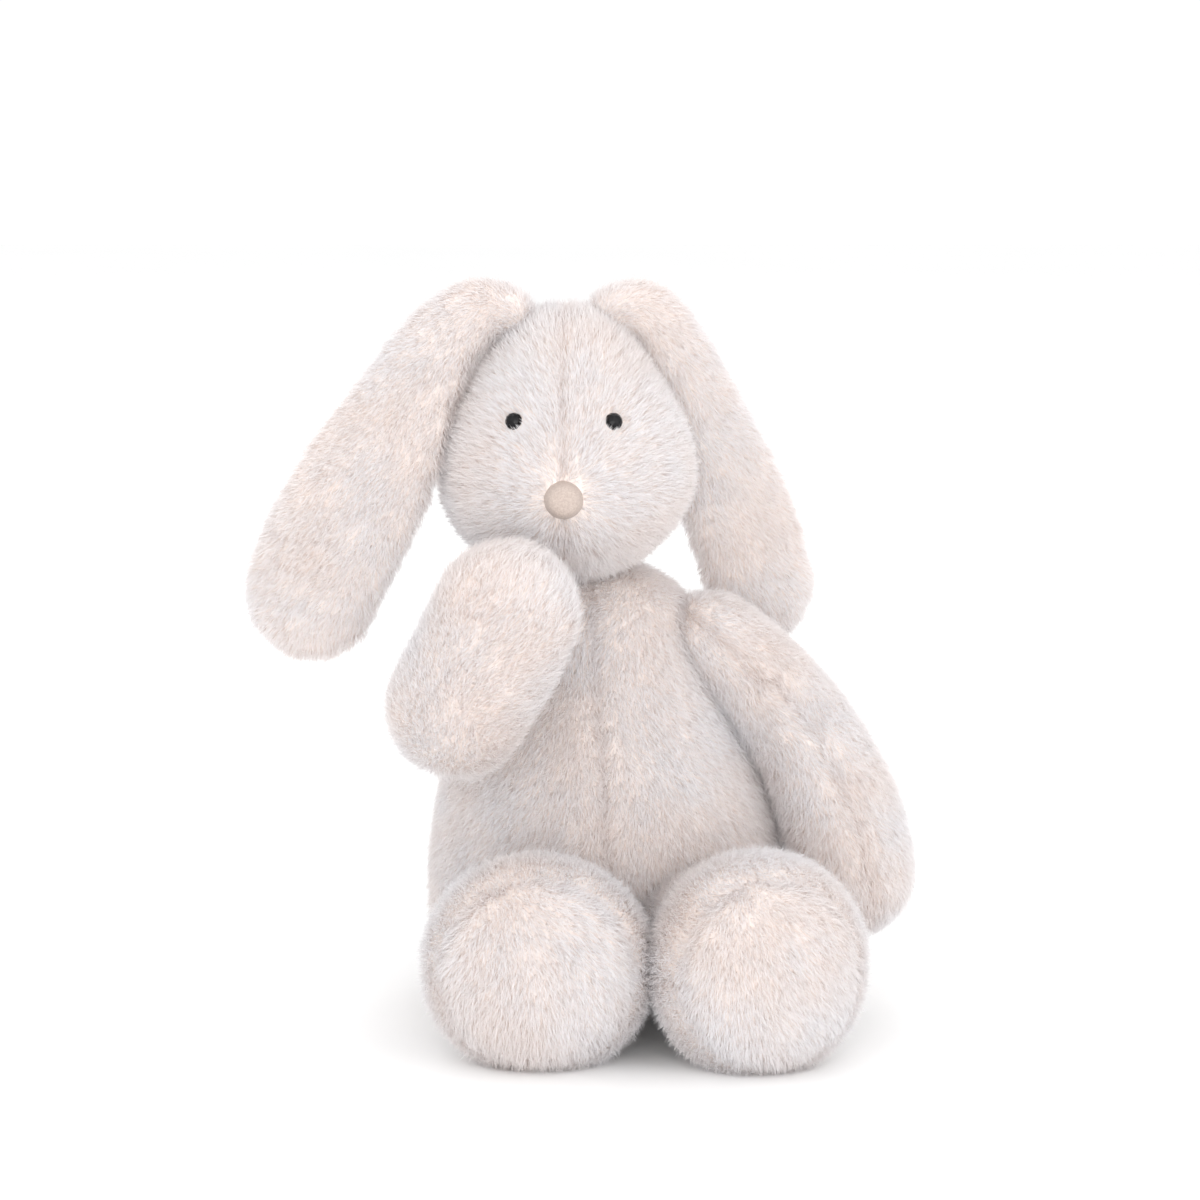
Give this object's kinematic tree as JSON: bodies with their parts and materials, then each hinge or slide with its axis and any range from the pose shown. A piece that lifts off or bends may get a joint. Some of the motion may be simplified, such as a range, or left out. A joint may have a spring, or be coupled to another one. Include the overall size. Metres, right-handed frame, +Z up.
{
  "type": "stuffed bunny",
  "caption": "Seated stuffed bunny in long soft plush, with hanging ears, one arm raised to its mouth, the other at its side, and big rounded feet.",
  "frame": {"origin": "on the resting surface, at the middle of the whole bunny's footprint box", "axes": "+Z up, the bunny faces -Y, and +X is towards the bunny's own left hand"},
  "size_m": [0.2798, 0.229, 0.3045],
  "materials": {
    "plush": "matte",
    "wadding": "matte",
    "eye_plastic": "gloss",
    "nose_velour": "matte",
    "washer_nylon": "matte",
    "bean_cloth": "matte"
  },
  "bodies": {
    "torso": {"body_front_left": "plush", "body_front_right": "plush", "body_back_left": "plush", "body_back_right": "plush", "seat_panel": "plush", "body_filling": "wadding", "seat_bean_bag": "bean_cloth", "tail_cover": "plush", "tail_filling": "wadding"},
    "neck": {"neck_filling": "wadding"},
    "head": {"face_left": "plush", "face_right": "plush", "head_back": "plush", "head_filling": "wadding", "eye_right": "eye_plastic", "eye_washer_right": "washer_nylon", "eye_left": "eye_plastic", "eye_washer_left": "washer_nylon", "nose_patch": "nose_velour"},
    "ear_right": {"ear_right_front": "plush", "ear_right_back": "plush", "ear_right_wadding": "wadding"},
    "ear_left": {"ear_left_front": "plush", "ear_left_back": "plush", "ear_left_wadding": "wadding"},
    "arm_right_upper": {"arm_right_upper_outer": "plush", "arm_right_upper_inner": "plush", "arm_right_upper_filling": "wadding"},
    "arm_right_lower": {"arm_right_lower_outer": "plush", "arm_right_lower_inner": "plush", "arm_right_lower_filling": "wadding"},
    "arm_left_upper": {"arm_left_upper_outer": "plush", "arm_left_upper_inner": "plush", "arm_left_upper_filling": "wadding"},
    "arm_left_lower": {"arm_left_lower_outer": "plush", "arm_left_lower_inner": "plush", "arm_left_lower_filling": "wadding"},
    "leg_right": {"leg_right_top": "plush", "leg_right_under": "plush", "leg_right_sole": "plush", "leg_right_filling": "wadding"},
    "leg_left": {"leg_left_top": "plush", "leg_left_under": "plush", "leg_left_sole": "plush", "leg_left_filling": "wadding"}
  },
  "joints": [
    {"name": "neck_turn", "type": "hinge", "parent": "torso", "child": "neck", "pos_m": [-0.00085, 0.0265, 0.178], "axis": [0, 0, 1], "range_deg": [-8, 8]},
    {"name": "neck_nod", "type": "hinge", "parent": "neck", "child": "head", "pos_m": [-0.00085, 0.0265, 0.178], "axis": [1, 0, 0], "range_deg": [-15, 5]},
    {"name": "ear_right_lift", "type": "hinge", "parent": "head", "child": "ear_right", "pos_m": [-0.02585, 0.0195, 0.289], "axis": [0, 1, 0], "range_deg": [0, 70]},
    {"name": "ear_left_lift", "type": "hinge", "parent": "head", "child": "ear_left", "pos_m": [0.01215, 0.0265, 0.29], "axis": [0, -1, 0], "range_deg": [0, 70]},
    {"name": "shoulder_right", "type": "hinge", "parent": "torso", "child": "arm_right_upper", "pos_m": [-0.04185, 0.0165, 0.152], "axis": [-1, 0, 0], "range_deg": [-35, 0]},
    {"name": "elbow_right", "type": "hinge", "parent": "arm_right_upper", "child": "arm_right_lower", "pos_m": [-0.05185, -0.0475, 0.137], "axis": [1, 0, 0], "range_deg": [0, 60]},
    {"name": "shoulder_left", "type": "hinge", "parent": "torso", "child": "arm_left_upper", "pos_m": [0.05315, 0.0185, 0.156], "axis": [0, -1, 0], "range_deg": [0, 70]},
    {"name": "elbow_left", "type": "hinge", "parent": "arm_left_upper", "child": "arm_left_lower", "pos_m": [0.09115, 0.0125, 0.112], "axis": [0, -1, 0], "range_deg": [0, 45]},
    {"name": "hip_right", "type": "hinge", "parent": "torso", "child": "leg_right", "pos_m": [-0.01785, -0.0155, 0.036], "axis": [-1, 0, 0], "range_deg": [0, 20]},
    {"name": "hip_left", "type": "hinge", "parent": "torso", "child": "leg_left", "pos_m": [0.04815, -0.0155, 0.036], "axis": [-1, 0, 0], "range_deg": [0, 20]}
  ]
}
